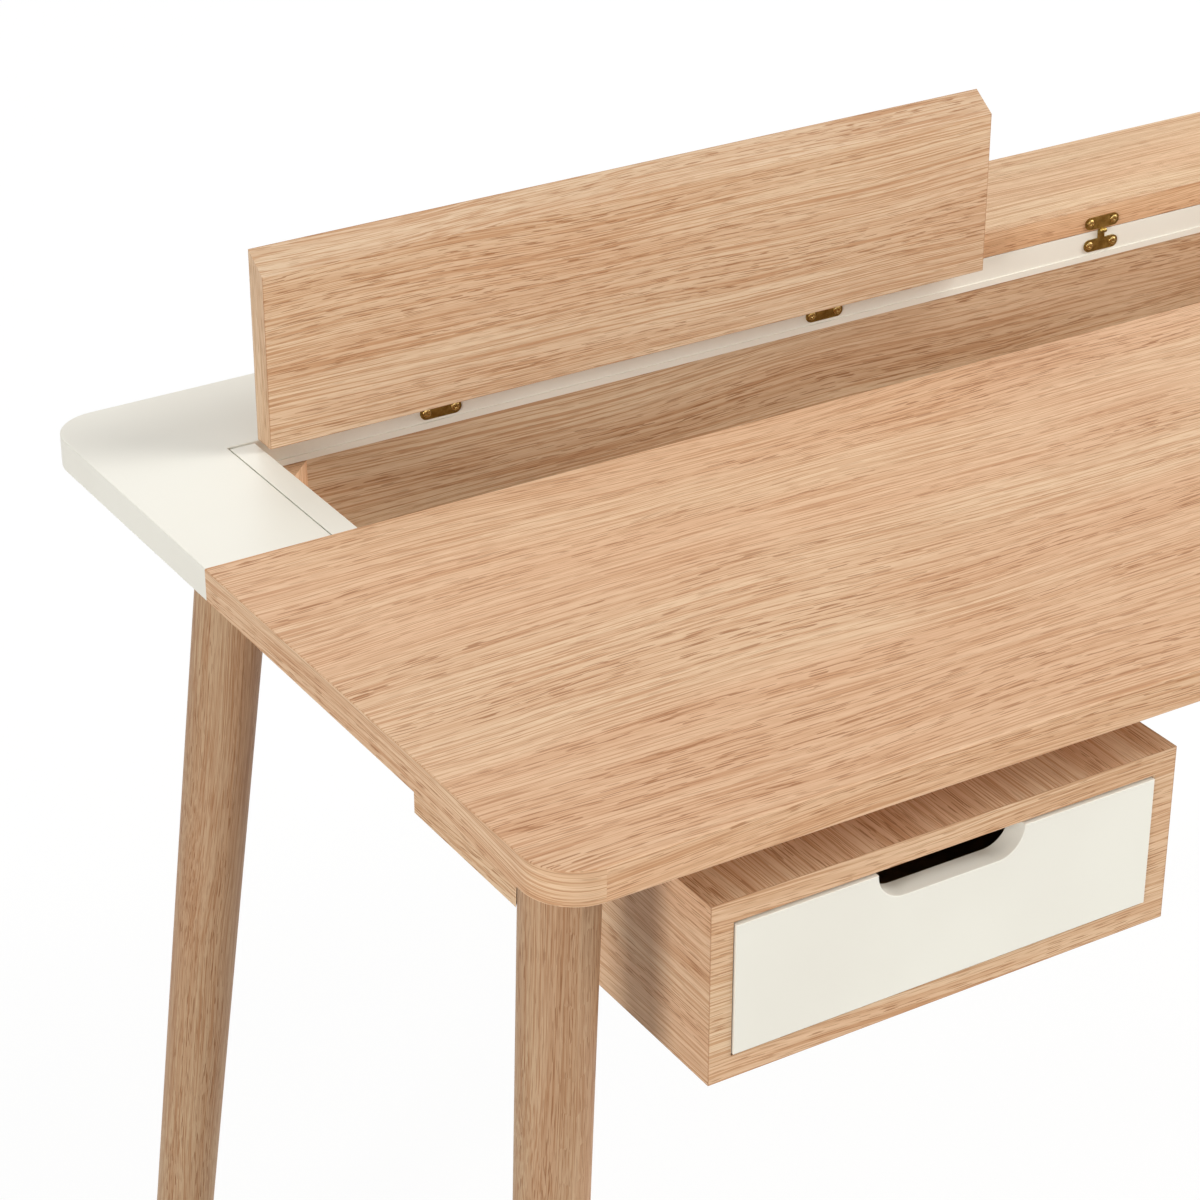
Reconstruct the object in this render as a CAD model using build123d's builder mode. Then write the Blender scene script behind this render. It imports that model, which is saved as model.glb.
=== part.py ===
from build123d import *
import math
import os

os.makedirs("parts", exist_ok=True)

# Writing desk with a hinged trough behind the worktop and a hung drawer under its left front corner.
# Millimetres. X runs along the desk from its middle, Y from front to back, Z up from the floor.

# Worktop
desk_width = 1466.0
desk_depth = 700.0
desk_height = 750.0
top_thickness = 24.0
slab_depth = 439.0
corner_radius = 35.0
outer_round = 1.0
inner_round = 0.4

# Cut-out in the lacquered panel, and the trough that hangs in it
arm_width = 92.0
rear_strip_width = 104.7
shadow_gap = 1.0
end_wall_thickness = 19.0
end_wall_rear_gap = 3.0
lip_height = 5.0
lip_reach = 1.2
trough_wall = 18.0
trough_depth = 66.0
trough_floor_thickness = 10.0
floor_screw_diameter = 3.5
floor_screw_length = 30.0
floor_screw_head_diameter = 7.0
floor_screw_from_end = 70.0
screws_in_row = 4
corner_block_leg = 41.0
corner_block_drop = 0.6
rest_length = 36.0
rest_height = 26.0
rest_overlap = 8.0
rest_from_end = 62.0
rest_clearance = 0.3

# Lids
lid_front_gap = 10.0
lid_thickness = 20.0
lid_bevel = 14.0
lid_end_gap = 3.0
lid_middle_gap = 1.5
lid_seat_drop = 0.4
hinge_from_outer_end = 146.5
hinge_from_inner_end = 134.5
left_lid_angle = 90.0
right_lid_angle = 180.0

# Hinges: a leaf on the panel's edge, a leaf on the lid's edge, one pin
hinge_reach = 2.0
leaf_length = 33.7
leaf_height = 10.2
leaf_thickness = 1.2
panel_leaf_drop = 11.5
lid_leaf_drop = 7.4
neck_width = 6.4
barrel_radius = 1.9
knuckle_play = 0.15
knuckle_clearance = 0.3
hinge_pin_diameter = 1.8
hinge_pin_play = 0.05
screw_spacing = 23.4
screw_head_diameter = 6.6
screw_head_height = 1.0
screw_shank_diameter = 2.4
screw_length = 12.0
screw_hole_play = 0.2

# Legs
leg_top_diameter = 50.0
leg_foot_diameter = 40.0
leg_splay = 5.0
leg_from_side = 45.0
front_leg_from_front = 66.0
rear_leg_behind_joint = 52.0
leg_foot_chamfer = 1.5
glide_diameter = 26.0
glide_thickness = 3.0
cope_clearance = 0.3

# Leg fixings: a hanger bolt in the leg, a threaded sleeve in the worktop
bolt_diameter = 8.0
bolt_in_leg = 34.0
bolt_in_sleeve = 15.0
bolt_play = 0.1
sleeve_diameter = 12.0
sleeve_height = 16.0

# Under-frame
rail_height = 40.0
rail_thickness = 20.0
side_rail_from_side = 20.0
rear_rail_from_front = 197.0
batten_thickness = 21.0
batten_rear_margin = 60.0
frame_screw_diameter = 5.0
frame_screw_bite = 14.0
frame_screw_head_diameter = 9.5
frame_screw_head_height = 3.0
frame_screw_sink = 22.0
frame_screw_play = 0.25
rail_screw_from_leg = 193.0
batten_screw_end = 40.0

# Drawer box
box_from_side = 116.0
box_from_front = 16.5
box_width = 348.0
box_height = 127.0
box_depth = 210.0
box_board = 16.0
box_screw_diameter = 4.0
box_screw_length = 36.0
box_screw_head_diameter = 8.0
box_screw_head_height = 2.2
box_screw_play = 0.15
box_screw_inset = 60.0

# Drawer
front_side_gap = 1.0
front_top_gap = 2.0
front_bottom_gap = 1.2
front_proud = 1.5
front_thickness = 16.0
front_round = 0.6
finger_width = 110.0
finger_depth = 20.0
side_thickness = 12.0
side_play = 1.0
side_height = 76.0
drawer_length = 176.0
drawer_bottom_thickness = 5.0
bottom_lift = 6.0
bottom_groove_depth = 6.0
groove_play = 0.2
runner_height = 10.0
runner_reach = 7.0
runner_length = 165.0
runner_play = 0.4
stop_width = 16.0

# Places worked out from the sizes above
half_width = desk_width / 2
underside = desk_height - top_thickness
cutout_depth = desk_depth - slab_depth - rear_strip_width
lid_width = cutout_depth - 2 * hinge_reach - lid_front_gap
rear_leg_from_front = slab_depth + rear_leg_behind_joint
splay_slope = math.tan(math.radians(leg_splay))
foot_shift = (underside - glide_thickness) * splay_slope
pin_from_front = slab_depth + cutout_depth - hinge_reach
lid_reach = pin_from_front + hinge_reach + lid_width
front_reach = min(0.0, front_leg_from_front - foot_shift - leg_foot_diameter / 2)
rear_foot_reach = rear_leg_from_front + foot_shift + leg_foot_diameter / 2
rear_reach = max(desk_depth, lid_reach, rear_foot_reach)

# The origin lies under the middle of everything, with the right lid folded back
front_y = -(front_reach + rear_reach) / 2
joint_y = front_y + slab_depth
rear_y = front_y + desk_depth
cutout_y = joint_y + cutout_depth
pin_y = front_y + pin_from_front
pin_z = desk_height
cutout_half = half_width - arm_width
end_wall_outer = cutout_half - shadow_gap
trough_half = end_wall_outer - end_wall_thickness
trough_bottom = underside - trough_depth
rail_bottom = underside - rail_height


def board(left, right, front, back, bottom, top):
    """A square-edged board between six planes."""
    with BuildPart() as piece:
        with BuildSketch(Plane.XY.offset(bottom)):
            with Locations(((left + right) / 2, (front + back) / 2)):
                Rectangle(right - left, back - front)
        extrude(amount=top - bottom)
    return piece


def evenly_spaced(end, count):
    """This many places from -end to end."""
    return [end * (2 * step / (count - 1) - 1) for step in range(count)]


# Oak slab, the front part of the worktop
with BuildPart() as slab:
    with BuildSketch(Plane.XY.offset(underside)) as slab_outline:
        with Locations((0, (front_y + joint_y) / 2)):
            Rectangle(desk_width, slab_depth)
        fillet(slab_outline.vertices().group_by(Axis.Y)[0], corner_radius)
    extrude(amount=top_thickness)
    long_edges = slab.faces().sort_by(Axis.Z)[-1].edges().sort_by(Axis.Y)[:-1]
    long_edges += slab.faces().sort_by(Axis.Z)[0].edges().sort_by(Axis.Y)[:-1]
    fillet(long_edges, outer_round)
    with Locations(*[(side * (half_width - leg_from_side), front_y + front_leg_from_front, underside)
                     for side in (-1, 1)]):
        Cylinder(sleeve_diameter / 2, sleeve_height, align=(Align.CENTER, Align.CENTER, Align.MIN),
                 mode=Mode.SUBTRACT)
slab.part.label = "oak_slab"
export_step(slab.part, "parts/oak_slab.step")

# Lacquered panel behind it: a U round the trough, with a small lip under the lids' hinged edge
with BuildPart() as panel:
    with BuildSketch(Plane.XY.offset(underside)) as panel_outline:
        with Locations((0, (joint_y + rear_y) / 2)):
            Rectangle(desk_width, desk_depth - slab_depth)
        fillet(panel_outline.vertices().group_by(Axis.Y)[-1], corner_radius)
        with Locations((0, (joint_y + cutout_y) / 2)):
            Rectangle(2 * cutout_half, cutout_depth, mode=Mode.SUBTRACT)
    extrude(amount=top_thickness)
    faces_z = panel.faces().sort_by(Axis.Z)
    outer_edges = (faces_z[-1].edges() + faces_z[0].edges()).filter_by(
        lambda edge: abs(edge.center().X) > half_width - corner_radius
        or edge.center().Y > rear_y - corner_radius)
    fillet(outer_edges, outer_round)
    cutout_edges = panel.faces().sort_by(Axis.Z)[-1].edges().filter_by(
        lambda edge: joint_y + inner_round < edge.center().Y < cutout_y + inner_round
        and abs(edge.center().X) < cutout_half + inner_round)
    fillet(cutout_edges, inner_round)
    with BuildSketch(Plane.XY.offset(underside)):
        with Locations((0, cutout_y - lip_reach / 2)):
            Rectangle(2 * trough_half, lip_reach)
    extrude(amount=lip_height)
    with Locations(*[(side * (half_width - leg_from_side), front_y + rear_leg_from_front, underside)
                     for side in (-1, 1)]):
        Cylinder(sleeve_diameter / 2, sleeve_height, align=(Align.CENTER, Align.CENTER, Align.MIN),
                 mode=Mode.SUBTRACT)
panel.part.label = "lacquered_panel"
export_step(panel.part, "parts/lacquered_panel.step")

# Trough: white end walls that come up flush with the worktop, stepped back from the panel at the top
end_wall_profile = [
    (joint_y, trough_bottom),
    (joint_y, desk_height),
    (cutout_y - end_wall_rear_gap, desk_height),
    (cutout_y - end_wall_rear_gap, underside),
    (cutout_y, underside),
    (cutout_y, trough_bottom),
]
for name, side in (("left", -1), ("right", 1)):
    with BuildPart() as end_wall:
        with BuildSketch(Plane.YZ.offset(side * (trough_half + end_wall_thickness / 2))):
            with BuildLine():
                Polyline(*end_wall_profile, close=True)
            make_face()
        extrude(amount=end_wall_thickness / 2, both=True)
        top_edges = end_wall.faces().sort_by(Axis.Z)[-1].edges()
        fillet(top_edges.sort_by(Axis.Y)[1:], inner_round)
    end_wall.part.label = f"trough_end_{name}"
    export_step(end_wall.part, f"parts/trough_end_{name}.step")

trough_front = board(-end_wall_outer, end_wall_outer, joint_y - trough_wall, joint_y,
                     trough_bottom, underside)
trough_front.part.label = "trough_front_wall"
export_step(trough_front.part, "parts/trough_front_wall.step")

trough_rear = board(-end_wall_outer, end_wall_outer, cutout_y, cutout_y + trough_wall,
                    trough_bottom, underside)
trough_rear.part.label = "trough_rear_wall"
export_step(trough_rear.part, "parts/trough_rear_wall.step")

floor_bottom = trough_bottom - trough_floor_thickness
floor_screw_head_height = (floor_screw_head_diameter - floor_screw_diameter) / 2
floor_screw_xs = evenly_spaced(end_wall_outer - floor_screw_from_end, screws_in_row)
floor_screw_places = [(x, y) for x in floor_screw_xs
                      for y in (joint_y - trough_wall / 2, cutout_y + trough_wall / 2)]
with BuildPart() as trough_floor:
    with BuildSketch(Plane.XY.offset(floor_bottom)):
        with Locations((0, (joint_y + cutout_y) / 2)):
            Rectangle(2 * end_wall_outer, cutout_depth + 2 * trough_wall)
    extrude(amount=trough_floor_thickness)
    chamfer(trough_floor.faces().sort_by(Axis.Z)[0].edges(), 2 * outer_round)
    with Locations(*[(x, y, floor_bottom) for x, y in floor_screw_places]):
        Cone(floor_screw_head_diameter / 2, floor_screw_diameter / 2, floor_screw_head_height,
             align=(Align.CENTER, Align.CENTER, Align.MIN), mode=Mode.SUBTRACT)
        Cylinder(floor_screw_diameter / 2, trough_floor_thickness,
                 align=(Align.CENTER, Align.CENTER, Align.MIN), mode=Mode.SUBTRACT)
trough_floor.part.label = "trough_floor"
export_step(trough_floor.part, "parts/trough_floor.step")

with BuildPart() as floor_screws:
    with Locations(*[(x, y, floor_bottom) for x, y in floor_screw_places]):
        Cone(floor_screw_head_diameter / 2, floor_screw_diameter / 2, floor_screw_head_height,
             align=(Align.CENTER, Align.CENTER, Align.MIN))
        Cylinder(floor_screw_diameter / 2, floor_screw_length,
                 align=(Align.CENTER, Align.CENTER, Align.MIN))
floor_screws.part.label = "floor_screws"
export_step(floor_screws.part, "parts/floor_screws.step")

# Triangular blocks in the trough's four corners
with BuildPart() as corner_blocks:
    with BuildSketch(Plane.XY.offset(trough_bottom)):
        for side in (-1, 1):
            for wall_y, inward in ((joint_y, 1), (cutout_y, -1)):
                with BuildLine():
                    Polyline(
                        (side * trough_half, wall_y),
                        (side * (trough_half - corner_block_leg), wall_y),
                        (side * trough_half, wall_y + inward * corner_block_leg),
                        close=True,
                    )
                make_face()
    extrude(amount=trough_depth - corner_block_drop)
corner_blocks.part.label = "trough_corner_blocks"
export_step(corner_blocks.part, "parts/trough_corner_blocks.step")

# Blocks on the trough's front wall that carry the closed lids' free edges
lid_underside = desk_height - lid_seat_drop - lid_thickness
rest_depth = lid_front_gap + lid_bevel + rest_overlap
rest_top = lid_underside - rest_clearance
with BuildPart() as lid_rests:
    with BuildSketch(Plane.XY.offset(rest_top - rest_height)):
        rest_x = trough_half - rest_from_end
        with Locations(*[(x, joint_y + rest_depth / 2) for x in (-rest_x, 0, rest_x)]):
            Rectangle(rest_length, rest_depth)
    extrude(amount=rest_height)
    chamfer(lid_rests.edges().filter_by(Axis.X).group_by(Axis.Y)[-1].group_by(Axis.Z)[0], rest_overlap)
lid_rests.part.label = "lid_rests"
export_step(lid_rests.part, "parts/lid_rests.step")

# Lids: each is drawn from its pin, with one sketch axis along its width and one along its thickness
lid_length = (2 * trough_half - 2 * lid_end_gap - lid_middle_gap) / 2
lid_middle_x = (lid_middle_gap + lid_length) / 2


def lid_direction(angle):
    """Unit vector from the pin along a lid that is opened by this many degrees."""
    turn = math.radians(angle)
    return (0, -math.cos(turn), math.sin(turn))


lid_profile = [
    (hinge_reach, -lid_seat_drop),
    (hinge_reach + lid_width, -lid_seat_drop),
    (hinge_reach + lid_width - lid_bevel, -lid_seat_drop - lid_thickness),
    (hinge_reach, -lid_seat_drop - lid_thickness),
]
for name, side, angle in (("left", -1, left_lid_angle), ("right", 1, right_lid_angle)):
    middle = (side * lid_middle_x, pin_y, pin_z)
    with BuildPart() as lid:
        with BuildSketch(Plane(middle, x_dir=lid_direction(angle), z_dir=(-1, 0, 0))):
            with BuildLine():
                Polyline(*lid_profile, close=True)
            make_face()
        extrude(amount=lid_length / 2, both=True)
        fillet(lid.edges().filter_by(Axis.X).sort_by_distance(middle)[:-1], inner_round)
    lid.part.label = f"lid_{name}"
    export_step(lid.part, f"parts/lid_{name}.step")

# Hinges: leaves are drawn on planes that stand on the pin axis and look into the wood behind them
knuckle_width = (neck_width - 2 * knuckle_play) / 3
knuckle_step = knuckle_width + knuckle_play
neck_top = barrel_radius + knuckle_clearance


def hinge_leaves(face, hinge_xs, drop, knuckles):
    """Two leaves with a neck and knuckles; drop is from the pin to the middle of the leaf."""
    knuckle_xs = [x + knuckle * knuckle_step for x in hinge_xs for knuckle in knuckles]
    with BuildPart(face) as leaves:
        with BuildSketch(face.offset(hinge_reach - leaf_thickness)):
            with Locations(*[(x, -drop) for x in hinge_xs]):
                SlotOverall(leaf_length, leaf_height)
            with Locations(*[(x, -(drop + neck_top) / 2) for x in hinge_xs]):
                Rectangle(neck_width, drop - neck_top)
            with Locations(*[(x, -neck_top / 2) for x in knuckle_xs]):
                Rectangle(knuckle_width, neck_top)
            with Locations(*[(x + end * screw_spacing / 2, -drop) for x in hinge_xs for end in (-1, 1)]):
                Circle(screw_shank_diameter / 2 + screw_hole_play, mode=Mode.SUBTRACT)
        extrude(amount=leaf_thickness)
        with Locations(*[(x, 0, 0) for x in knuckle_xs]):
            Cylinder(barrel_radius, knuckle_width, rotation=(0, 90, 0))
        with Locations(*[(x, 0, 0) for x in knuckle_xs]):
            Cylinder(hinge_pin_diameter / 2 + hinge_pin_play, knuckle_width, rotation=(0, 90, 0),
                     mode=Mode.SUBTRACT)
    return leaves


# A domed wood screw, its head's seat at the origin and its shank up +Z
with BuildPart() as wood_screw:
    with BuildSketch(Plane.XZ):
        with BuildLine():
            head_arc = TangentArc((0, -screw_head_height), (screw_head_diameter / 2, 0), tangent=(1, 0))
            Polyline(
                head_arc @ 1,
                (screw_shank_diameter / 2, 0),
                (screw_shank_diameter / 2, screw_length - screw_shank_diameter),
                (0, screw_length),
                head_arc @ 0,
            )
        make_face()
    revolve(axis=Axis.Z)


def hinge_screws(face, hinge_xs, drop):
    """Four screws through the leaves drawn by hinge_leaves on the same plane."""
    with BuildPart(face.offset(hinge_reach - leaf_thickness)) as screws:
        with Locations(*[(x + end * screw_spacing / 2, -drop, 0) for x in hinge_xs for end in (-1, 1)]):
            add(wood_screw.part)
    return screws


for name, side, angle in (("left", -1, left_lid_angle), ("right", 1, right_lid_angle)):
    outer_x = lid_length / 2 - hinge_from_outer_end
    inner_x = -lid_length / 2 + hinge_from_inner_end
    offsets = [side * outer_x, side * inner_x]
    middle = (side * lid_middle_x, pin_y, pin_z)
    lid_face = Plane(middle, x_dir=(1, 0, 0), z_dir=lid_direction(angle))
    panel_face = Plane(middle, x_dir=(-1, 0, 0), z_dir=(0, 1, 0))

    lid_leaves = hinge_leaves(lid_face, offsets, lid_leaf_drop, (0,))
    lid_leaves.part.label = f"lid_leaves_{name}"
    export_step(lid_leaves.part, f"parts/lid_leaves_{name}.step")

    panel_offsets = [-x for x in offsets]
    panel_leaves = hinge_leaves(panel_face, panel_offsets, panel_leaf_drop, (-1, 1))
    panel_leaves.part.label = f"panel_leaves_{name}"
    export_step(panel_leaves.part, f"parts/panel_leaves_{name}.step")

    with BuildPart(lid_face) as pins:
        with Locations(*[(x, 0, 0) for x in offsets]):
            Cylinder(hinge_pin_diameter / 2, neck_width + 2 * knuckle_play, rotation=(0, 90, 0))
    pins.part.label = f"hinge_pins_{name}"
    export_step(pins.part, f"parts/hinge_pins_{name}.step")

    lid_screws = hinge_screws(lid_face, offsets, lid_leaf_drop)
    lid_screws.part.label = f"lid_screws_{name}"
    export_step(lid_screws.part, f"parts/lid_screws_{name}.step")

    panel_screws = hinge_screws(panel_face, panel_offsets, panel_leaf_drop)
    panel_screws.part.label = f"panel_screws_{name}"
    export_step(panel_screws.part, f"parts/panel_screws_{name}.step")

# Legs: round, tapered, splayed outwards both ways
leg_x = half_width - leg_from_side
leg_places = [
    ("front_left", -1, front_y + front_leg_from_front, -1),
    ("front_right", 1, front_y + front_leg_from_front, -1),
    ("rear_left", -1, front_y + rear_leg_from_front, 1),
    ("rear_right", 1, front_y + rear_leg_from_front, 1),
]


def tapered_leg(side, top_y, lean, extra):
    """The leg's outside, turned about its own axis, cut level at both ends and enlarged by extra."""
    top = Vector(side * leg_x, top_y, underside)
    foot = Vector(side * (leg_x + foot_shift), top_y + lean * foot_shift, glide_thickness)
    axis_length = (foot - top).length
    cut_waste = leg_top_diameter * splay_slope
    waste_taper = (leg_top_diameter - leg_foot_diameter) / 2 * cut_waste / axis_length
    with BuildPart() as leg_body:
        with Locations(Plane(top, z_dir=foot - top).offset(-cut_waste)):
            Cone(leg_top_diameter / 2 + waste_taper + extra, leg_foot_diameter / 2 - waste_taper + extra,
                 axis_length + 2 * cut_waste, align=(Align.CENTER, Align.CENTER, Align.MIN))
        split(bisect_by=Plane.XY.offset(underside), keep=Keep.BOTTOM)
        split(bisect_by=Plane.XY.offset(glide_thickness), keep=Keep.TOP)
    return leg_body


for name, side, top_y, lean in leg_places:
    leg = tapered_leg(side, top_y, lean, 0)
    with leg:
        chamfer(leg.faces().sort_by(Axis.Z)[0].edges(), leg_foot_chamfer)
        with Locations((side * leg_x, top_y, underside)):
            Cylinder(bolt_diameter / 2 + bolt_play, bolt_in_leg,
                     align=(Align.CENTER, Align.CENTER, Align.MAX), mode=Mode.SUBTRACT)
    leg.part.label = f"leg_{name}"
    export_step(leg.part, f"parts/leg_{name}.step")

foot_places = [(side * (leg_x + foot_shift), top_y + lean * foot_shift)
               for name, side, top_y, lean in leg_places]
with BuildPart() as glides:
    with BuildSketch():
        with Locations(*foot_places):
            Circle(glide_diameter / 2)
    extrude(amount=glide_thickness)
    chamfer(glides.faces().group_by(Axis.Z)[0].edges(), glide_thickness / 4)
glides.part.label = "foot_glides"
export_step(glides.part, "parts/foot_glides.step")

leg_tops = [(side * leg_x, top_y) for name, side, top_y, lean in leg_places]
with BuildPart() as bolts:
    with BuildSketch(Plane.XY.offset(underside - bolt_in_leg)):
        with Locations(*leg_tops):
            Circle(bolt_diameter / 2)
    extrude(amount=bolt_in_leg + bolt_in_sleeve)
bolts.part.label = "leg_bolts"
export_step(bolts.part, "parts/leg_bolts.step")

with BuildPart() as sleeves:
    with BuildSketch(Plane.XY.offset(underside)):
        with Locations(*leg_tops):
            Circle(sleeve_diameter / 2)
            Circle(bolt_diameter / 2 + bolt_play, mode=Mode.SUBTRACT)
    extrude(amount=sleeve_height)
sleeves.part.label = "leg_sleeves"
export_step(sleeves.part, "parts/leg_sleeves.step")

# Under-frame: rails round the front legs, coped to them, and battens that tie the two top boards
side_rail_outer = half_width - side_rail_from_side
side_rail_inner = side_rail_outer - rail_thickness
front_leg_y = front_y + front_leg_from_front
rear_rail_y = front_y + rear_rail_from_front
rail_screw_xs = evenly_spaced(leg_x - rail_screw_from_leg, screws_in_row)
batten_x = end_wall_outer + batten_thickness / 2
batten_rear = rear_y - batten_rear_margin
batten_screw_ys = [
    rear_rail_y + batten_screw_end,
    joint_y - batten_screw_end,
    joint_y + batten_screw_end,
    batten_rear - batten_screw_end,
]


def drill_rail(places):
    """Counterbored screw holes, from below, in the rail that is being built."""
    with Locations(*[(x, y, rail_bottom) for x, y in places]):
        Cylinder(frame_screw_diameter / 2 + frame_screw_play, rail_height,
                 align=(Align.CENTER, Align.CENTER, Align.MIN), mode=Mode.SUBTRACT)
        Cylinder(frame_screw_head_diameter / 2 + frame_screw_play, frame_screw_sink,
                 align=(Align.CENTER, Align.CENTER, Align.MIN), mode=Mode.SUBTRACT)


for name, side in (("left", -1), ("right", 1)):
    socket = tapered_leg(side, front_leg_y, -1, cope_clearance)
    x_range = sorted((side * side_rail_inner, side * side_rail_outer))
    side_rail = board(*x_range, front_leg_y, rear_rail_y, rail_bottom, underside)
    with side_rail:
        add(socket.part, mode=Mode.SUBTRACT)
    side_rail.part.label = f"side_rail_{name}"
    export_step(side_rail.part, f"parts/side_rail_{name}.step")

front_rail = board(-leg_x, leg_x, front_leg_y, front_leg_y + rail_thickness, rail_bottom, underside)
left_socket = tapered_leg(-1, front_leg_y, -1, cope_clearance)
right_socket = tapered_leg(1, front_leg_y, -1, cope_clearance)
with front_rail:
    add([left_socket.part, right_socket.part], mode=Mode.SUBTRACT)
    front_rail_screws = [(x, front_leg_y + rail_thickness / 2) for x in rail_screw_xs]
    drill_rail(front_rail_screws)
front_rail.part.label = "front_rail"
export_step(front_rail.part, "parts/front_rail.step")

rear_rail = board(-side_rail_inner, side_rail_inner, rear_rail_y - rail_thickness, rear_rail_y,
                  rail_bottom, underside)
with rear_rail:
    rear_rail_screws = [(x, rear_rail_y - rail_thickness / 2) for x in rail_screw_xs]
    drill_rail(rear_rail_screws)
rear_rail.part.label = "rear_rail"
export_step(rear_rail.part, "parts/rear_rail.step")

for name, side in (("left", -1), ("right", 1)):
    x_range = sorted((side * end_wall_outer, side * (end_wall_outer + batten_thickness)))
    batten = board(*x_range, rear_rail_y, batten_rear, rail_bottom, underside)
    with batten:
        drill_rail([(side * batten_x, y) for y in batten_screw_ys])
    batten.part.label = f"cross_batten_{name}"
    export_step(batten.part, f"parts/cross_batten_{name}.step")

batten_screws = [(side * batten_x, y) for side in (-1, 1) for y in batten_screw_ys]
frame_screw_places = front_rail_screws + rear_rail_screws + batten_screws
with BuildPart() as frame_screws:
    with BuildSketch(Plane.XY.offset(rail_bottom + frame_screw_sink)):
        with Locations(*frame_screw_places):
            Circle(frame_screw_diameter / 2)
    extrude(amount=rail_height - frame_screw_sink + frame_screw_bite)
    with BuildSketch(Plane.XY.offset(rail_bottom + frame_screw_sink)):
        with Locations(*frame_screw_places):
            Circle(frame_screw_head_diameter / 2)
    extrude(amount=-frame_screw_head_height)
frame_screws.part.label = "frame_screws"
export_step(frame_screws.part, "parts/frame_screws.step")

# Drawer box, hung under the front and rear rails
box_left = -half_width + box_from_side
box_right = box_left + box_width
box_front = front_y + box_from_front
box_back = box_front + box_depth
box_top = rail_bottom
box_bottom = box_top - box_height
inner_left = box_left + box_board
inner_right = box_right - box_board
inner_top = box_top - box_board
inner_bottom = box_bottom + box_board
inner_back = box_back - box_board
box_screw_xs = (inner_left + box_screw_inset, inner_right - box_screw_inset)
box_screw_ys = (front_leg_y + rail_thickness / 2, rear_rail_y - rail_thickness / 2)
box_screw_places = [(x, y) for x in box_screw_xs for y in box_screw_ys]

box_top_board = board(box_left, box_right, box_front, box_back, inner_top, box_top)
with box_top_board:
    with Locations(*[(x, y, inner_top) for x, y in box_screw_places]):
        Cylinder(box_screw_diameter / 2 + box_screw_play, box_board,
                 align=(Align.CENTER, Align.CENTER, Align.MIN), mode=Mode.SUBTRACT)
box_top_board.part.label = "box_top"
export_step(box_top_board.part, "parts/box_top.step")

box_bottom_board = board(box_left, box_right, box_front, box_back, box_bottom, inner_bottom)
box_bottom_board.part.label = "box_bottom"
export_step(box_bottom_board.part, "parts/box_bottom.step")

for name, x_range in (("left", (box_left, inner_left)), ("right", (inner_right, box_right))):
    box_side = board(*x_range, box_front, box_back, inner_bottom, inner_top)
    box_side.part.label = f"box_side_{name}"
    export_step(box_side.part, f"parts/box_side_{name}.step")

box_back_board = board(inner_left, inner_right, inner_back, box_back, inner_bottom, inner_top)
box_back_board.part.label = "box_back"
export_step(box_back_board.part, "parts/box_back.step")

with BuildPart() as box_screws:
    with BuildSketch(Plane.XY.offset(inner_top)):
        with Locations(*box_screw_places):
            Circle(box_screw_diameter / 2)
    extrude(amount=box_screw_length)
    with BuildSketch(Plane.XY.offset(inner_top)):
        with Locations(*box_screw_places):
            Circle(box_screw_head_diameter / 2)
    extrude(amount=-box_screw_head_height)
box_screws.part.label = "box_screws"
export_step(box_screws.part, "parts/box_screws.step")

# Drawer front, with a finger cut-out in its top edge
front_left_x = inner_left + front_side_gap
front_right_x = inner_right - front_side_gap
front_bottom_z = inner_bottom + front_bottom_gap
front_top_z = inner_top - front_top_gap
drawer_front_y = box_front - front_proud
drawer_middle_x = (front_left_x + front_right_x) / 2
with BuildPart() as drawer_front:
    with BuildSketch(Plane.XZ.offset(-drawer_front_y)):
        with Locations((drawer_middle_x, (front_bottom_z + front_top_z) / 2)):
            Rectangle(front_right_x - front_left_x, front_top_z - front_bottom_z)
        with BuildLine():
            rim_left = (drawer_middle_x - finger_width / 2, front_top_z)
            rim_right = (drawer_middle_x + finger_width / 2, front_top_z)
            low_left = (rim_left[0] + finger_depth, front_top_z - finger_depth)
            low_right = (rim_right[0] - finger_depth, front_top_z - finger_depth)
            RadiusArc(rim_left, low_left, -finger_depth)
            Line(low_left, low_right)
            RadiusArc(low_right, rim_right, -finger_depth)
            Line(rim_right, rim_left)
        make_face(mode=Mode.SUBTRACT)
    extrude(amount=-front_thickness)
    fillet(drawer_front.faces().sort_by(Axis.Y)[0].edges(), front_round)
drawer_front.part.label = "drawer_front"
export_step(drawer_front.part, "parts/drawer_front.step")

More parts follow.
